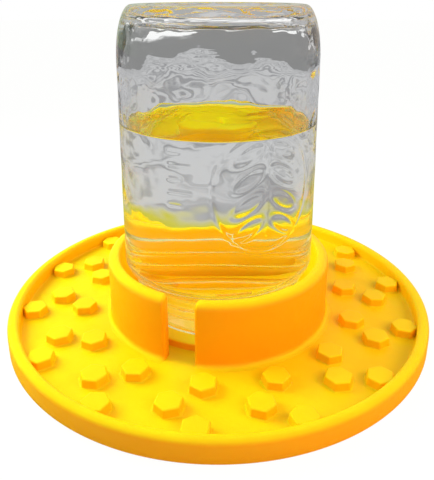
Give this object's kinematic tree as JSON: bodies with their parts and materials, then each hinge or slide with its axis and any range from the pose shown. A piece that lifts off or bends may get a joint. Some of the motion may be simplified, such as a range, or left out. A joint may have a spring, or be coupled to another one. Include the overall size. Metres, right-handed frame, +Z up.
{
  "type": "bee drinking tray with an inverted jar",
  "caption": "Round bee drinking tray with a rounded rim, hexagonal islands and a slotted collar that holds an upside-down glass jar of water.",
  "frame": {"origin": "middle of the tray's flat underside, on the surface it stands on", "axes": "+Z up along the jar's axis, -Y out through the middle of the collar's slot, +X to the right seen from the slot's side"},
  "size_m": [0.182, 0.182, 0.1334],
  "materials": {
    "yellow_plastic": "moulded yellow polyethylene, satin, with rounded edges",
    "clear_glass": "clear pressed glass with faint waves",
    "water": "clear still water"
  },
  "bodies": {
    "tray": {"tray_dish": "yellow_plastic", "jar_collar": "yellow_plastic", "jar_seat": "yellow_plastic", "well_water": "water", "inner_stud_01": "yellow_plastic", "inner_stud_02": "yellow_plastic", "inner_stud_03": "yellow_plastic", "inner_stud_04": "yellow_plastic", "inner_stud_05": "yellow_plastic", "inner_stud_06": "yellow_plastic", "inner_stud_07": "yellow_plastic", "inner_stud_08": "yellow_plastic", "inner_stud_09": "yellow_plastic", "inner_stud_10": "yellow_plastic", "inner_stud_11": "yellow_plastic", "inner_stud_12": "yellow_plastic", "inner_stud_13": "yellow_plastic", "inner_stud_14": "yellow_plastic", "middle_stud_01": "yellow_plastic", "middle_stud_02": "yellow_plastic", "middle_stud_03": "yellow_plastic", "middle_stud_04": "yellow_plastic", "middle_stud_05": "yellow_plastic", "middle_stud_06": "yellow_plastic", "middle_stud_07": "yellow_plastic", "middle_stud_08": "yellow_plastic", "middle_stud_09": "yellow_plastic", "middle_stud_10": "yellow_plastic", "middle_stud_11": "yellow_plastic", "middle_stud_12": "yellow_plastic", "middle_stud_13": "yellow_plastic", "middle_stud_14": "yellow_plastic", "outer_stud_01": "yellow_plastic", "outer_stud_02": "yellow_plastic", "outer_stud_03": "yellow_plastic", "outer_stud_04": "yellow_plastic", "outer_stud_05": "yellow_plastic", "outer_stud_06": "yellow_plastic", "outer_stud_07": "yellow_plastic", "outer_stud_08": "yellow_plastic", "outer_stud_09": "yellow_plastic", "outer_stud_10": "yellow_plastic", "outer_stud_11": "yellow_plastic", "outer_stud_12": "yellow_plastic", "outer_stud_13": "yellow_plastic", "outer_stud_14": "yellow_plastic"},
    "jar": {"glass_jar": "clear_glass", "water": "water"}
  },
  "joints": [
    {"name": "jar_lift", "type": "slide", "parent": "tray", "child": "jar", "axis": [0, 0, 1], "range_m": [0, 0.04]}
  ]
}
